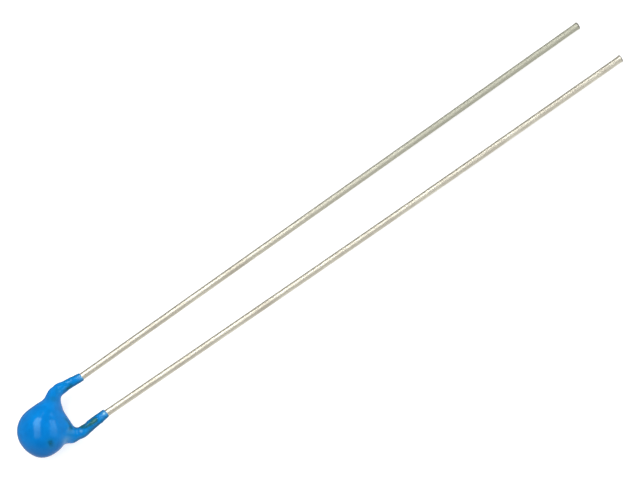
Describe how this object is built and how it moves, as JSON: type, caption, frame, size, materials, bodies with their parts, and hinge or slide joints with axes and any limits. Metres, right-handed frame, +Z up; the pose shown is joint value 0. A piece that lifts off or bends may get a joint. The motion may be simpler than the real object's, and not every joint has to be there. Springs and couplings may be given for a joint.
{
  "type": "ntc thermistor",
  "caption": "Small radial-leaded NTC thermistor: a round blue lacquer-dipped bead with coated legs and long straight tinned wire leads for through-hole soldering.",
  "frame": {"origin": "on the surface that the part lies on, under the middle of its outline", "axes": "+X runs along the leads from the bead to the lead tips, +Y points towards the lead that is soldered to the top face, +Z is up"},
  "size_m": [0.0454, 0.0038, 0.0026],
  "materials": {
    "blue_lacquer": "gloss",
    "thermistor_ceramic": "matte",
    "fired_silver": "satin",
    "solder": "satin",
    "tinned_wire": "satin"
  },
  "bodies": {
    "root": {"coating": "blue_lacquer", "ceramic_disc": "thermistor_ceramic", "front_electrode": "fired_silver", "back_electrode": "fired_silver", "front_solder": "solder", "back_solder": "solder", "front_lead": "tinned_wire", "back_lead": "tinned_wire"}
  },
  "joints": []
}
